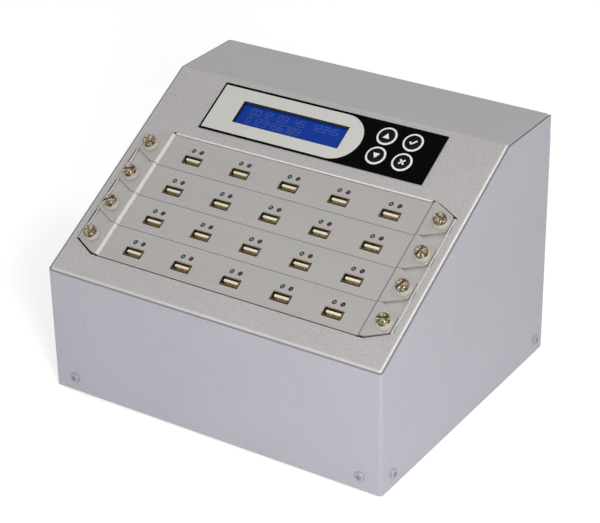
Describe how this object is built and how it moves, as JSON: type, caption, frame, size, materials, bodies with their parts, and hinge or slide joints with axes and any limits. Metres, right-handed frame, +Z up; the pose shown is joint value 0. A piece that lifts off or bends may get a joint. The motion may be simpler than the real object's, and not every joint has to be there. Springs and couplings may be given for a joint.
{
  "type": "usb flash drive duplicator",
  "caption": "Desktop unit that copies USB flash drives: sheet-metal case with a sloped face, rows of sockets in screw-held port modules, a small display and round keys.",
  "frame": {"origin": "on the floor under the middle of the outer box", "axes": "+X to the right as seen by the user, front towards -Y, +Z up"},
  "size_m": [0.2576, 0.2202, 0.18],
  "materials": {
    "case_paint": "fine textured silver-grey powder coat",
    "plate_paint": "smooth silver-grey powder coat",
    "zinc_steel": "zinc-plated sheet",
    "socket_metal": "nickel-plated shell",
    "knob_metal": "nickel-plated, turned",
    "collar_metal": "turned, satin",
    "screw_steel": "zinc-plated",
    "foot_rubber": "matte",
    "board_green": "solder mask over glass-fibre board",
    "lamp_green": "diffused lens",
    "lamp_red": "diffused lens",
    "label_film": "printed film",
    "key_plastic": "moulded, satin",
    "screen_blue": "backlit display",
    "frame_black": "black coated steel",
    "black_plastic": "glass-filled moulding",
    "cable_grey": "ribbon insulation"
  },
  "bodies": {
    "base": {"case_wrap": "case_paint", "top_cover": "case_paint", "base_tray": "zinc_steel", "rear_panel": "case_paint", "rubber_feet": "foot_rubber", "case_screws": "screw_steel", "seat_rails": "zinc_steel", "hub_board": "board_green", "control_overlay": "label_film", "keypad_board": "board_green", "lcd_frame": "frame_black", "lcd_board": "board_green", "lcd_screen": "screen_blue", "controller_board": "board_green", "power_supply": "board_green", "display_cable": "cable_grey", "hub_cable": "cable_grey", "fan_frame": "black_plastic", "power_inlet": "black_plastic", "switch_housing": "black_plastic"},
    "module_1": {"port_plate_1": "plate_paint", "port_board_1": "board_green", "usb_sockets_1": "socket_metal", "green_leds_1": "lamp_green", "red_leds_1": "lamp_red", "screw_collars_1": "collar_metal"},
    "thumbscrew_left_1": {"thumbscrew_left_1": "knob_metal"},
    "thumbscrew_right_1": {"thumbscrew_right_1": "knob_metal"},
    "module_2": {"port_plate_2": "plate_paint", "port_board_2": "board_green", "usb_sockets_2": "socket_metal", "green_leds_2": "lamp_green", "red_leds_2": "lamp_red", "screw_collars_2": "collar_metal"},
    "thumbscrew_left_2": {"thumbscrew_left_2": "knob_metal"},
    "thumbscrew_right_2": {"thumbscrew_right_2": "knob_metal"},
    "module_3": {"port_plate_3": "plate_paint", "port_board_3": "board_green", "usb_sockets_3": "socket_metal", "green_leds_3": "lamp_green", "red_leds_3": "lamp_red", "screw_collars_3": "collar_metal"},
    "thumbscrew_left_3": {"thumbscrew_left_3": "knob_metal"},
    "thumbscrew_right_3": {"thumbscrew_right_3": "knob_metal"},
    "module_4": {"port_plate_4": "plate_paint", "port_board_4": "board_green", "usb_sockets_4": "socket_metal", "green_leds_4": "lamp_green", "red_leds_4": "lamp_red", "screw_collars_4": "collar_metal"},
    "thumbscrew_left_4": {"thumbscrew_left_4": "knob_metal"},
    "thumbscrew_right_4": {"thumbscrew_right_4": "knob_metal"},
    "key_up": {"key_up": "key_plastic"},
    "key_down": {"key_down": "key_plastic"},
    "key_enter": {"key_enter": "key_plastic"},
    "key_cancel": {"key_cancel": "key_plastic"},
    "fan_rotor": {"fan_rotor": "black_plastic"},
    "switch_rocker": {"switch_rocker": "black_plastic"}
  },
  "joints": [
    {"name": "module_1_lift", "type": "slide", "parent": "base", "child": "module_1", "axis": [0, -0.49, 0.8717], "range_m": [0, 0.06]},
    {"name": "thumbscrew_left_1_turn", "type": "hinge", "parent": "module_1", "child": "thumbscrew_left_1", "pos_m": [-0.112, -0.07994, 0.10852], "axis": [0, -0.49, 0.8717], "range_deg": [0, 990]},
    {"name": "thumbscrew_right_1_turn", "type": "hinge", "parent": "module_1", "child": "thumbscrew_right_1", "pos_m": [0.112, -0.07994, 0.10852], "axis": [0, -0.49, 0.8717], "range_deg": [0, 990]},
    {"name": "module_2_lift", "type": "slide", "parent": "base", "child": "module_2", "axis": [0, -0.49, 0.8717], "range_m": [0, 0.06]},
    {"name": "thumbscrew_left_2_turn", "type": "hinge", "parent": "module_2", "child": "thumbscrew_left_2", "pos_m": [-0.112, -0.05727, 0.12126], "axis": [0, -0.49, 0.8717], "range_deg": [0, 990]},
    {"name": "thumbscrew_right_2_turn", "type": "hinge", "parent": "module_2", "child": "thumbscrew_right_2", "pos_m": [0.112, -0.05727, 0.12126], "axis": [0, -0.49, 0.8717], "range_deg": [0, 990]},
    {"name": "module_3_lift", "type": "slide", "parent": "base", "child": "module_3", "axis": [0, -0.49, 0.8717], "range_m": [0, 0.06]},
    {"name": "thumbscrew_left_3_turn", "type": "hinge", "parent": "module_3", "child": "thumbscrew_left_3", "pos_m": [-0.112, -0.03461, 0.134], "axis": [0, -0.49, 0.8717], "range_deg": [0, 990]},
    {"name": "thumbscrew_right_3_turn", "type": "hinge", "parent": "module_3", "child": "thumbscrew_right_3", "pos_m": [0.112, -0.03461, 0.134], "axis": [0, -0.49, 0.8717], "range_deg": [0, 990]},
    {"name": "module_4_lift", "type": "slide", "parent": "base", "child": "module_4", "axis": [0, -0.49, 0.8717], "range_m": [0, 0.06]},
    {"name": "thumbscrew_left_4_turn", "type": "hinge", "parent": "module_4", "child": "thumbscrew_left_4", "pos_m": [-0.112, -0.01194, 0.14674], "axis": [0, -0.49, 0.8717], "range_deg": [0, 990]},
    {"name": "thumbscrew_right_4_turn", "type": "hinge", "parent": "module_4", "child": "thumbscrew_right_4", "pos_m": [0.112, -0.01194, 0.14674], "axis": [0, -0.49, 0.8717], "range_deg": [0, 990]},
    {"name": "key_up_press", "type": "slide", "parent": "base", "child": "key_up", "axis": [0, 0.49, -0.8717], "range_m": [0, 0.0006], "stiffness_N_per_m": 1500, "springref_m": -0.0003},
    {"name": "key_down_press", "type": "slide", "parent": "base", "child": "key_down", "axis": [0, 0.49, -0.8717], "range_m": [0, 0.0006], "stiffness_N_per_m": 1500, "springref_m": -0.0003},
    {"name": "key_enter_press", "type": "slide", "parent": "base", "child": "key_enter", "axis": [0, 0.49, -0.8717], "range_m": [0, 0.0006], "stiffness_N_per_m": 1500, "springref_m": -0.0003},
    {"name": "key_cancel_press", "type": "slide", "parent": "base", "child": "key_cancel", "axis": [0, 0.49, -0.8717], "range_m": [0, 0.0006], "stiffness_N_per_m": 1500, "springref_m": -0.0003},
    {"name": "fan_spin", "type": "hinge", "parent": "base", "child": "fan_rotor", "pos_m": [-0.062, 0.10471, 0.106], "axis": [0, 1, 0], "continuous": true},
    {"name": "power_rock", "type": "hinge", "parent": "base", "child": "switch_rocker", "pos_m": [0.084, 0.10327, 0.072], "axis": [1, 0, 0], "range_deg": [0, 18]}
  ]
}
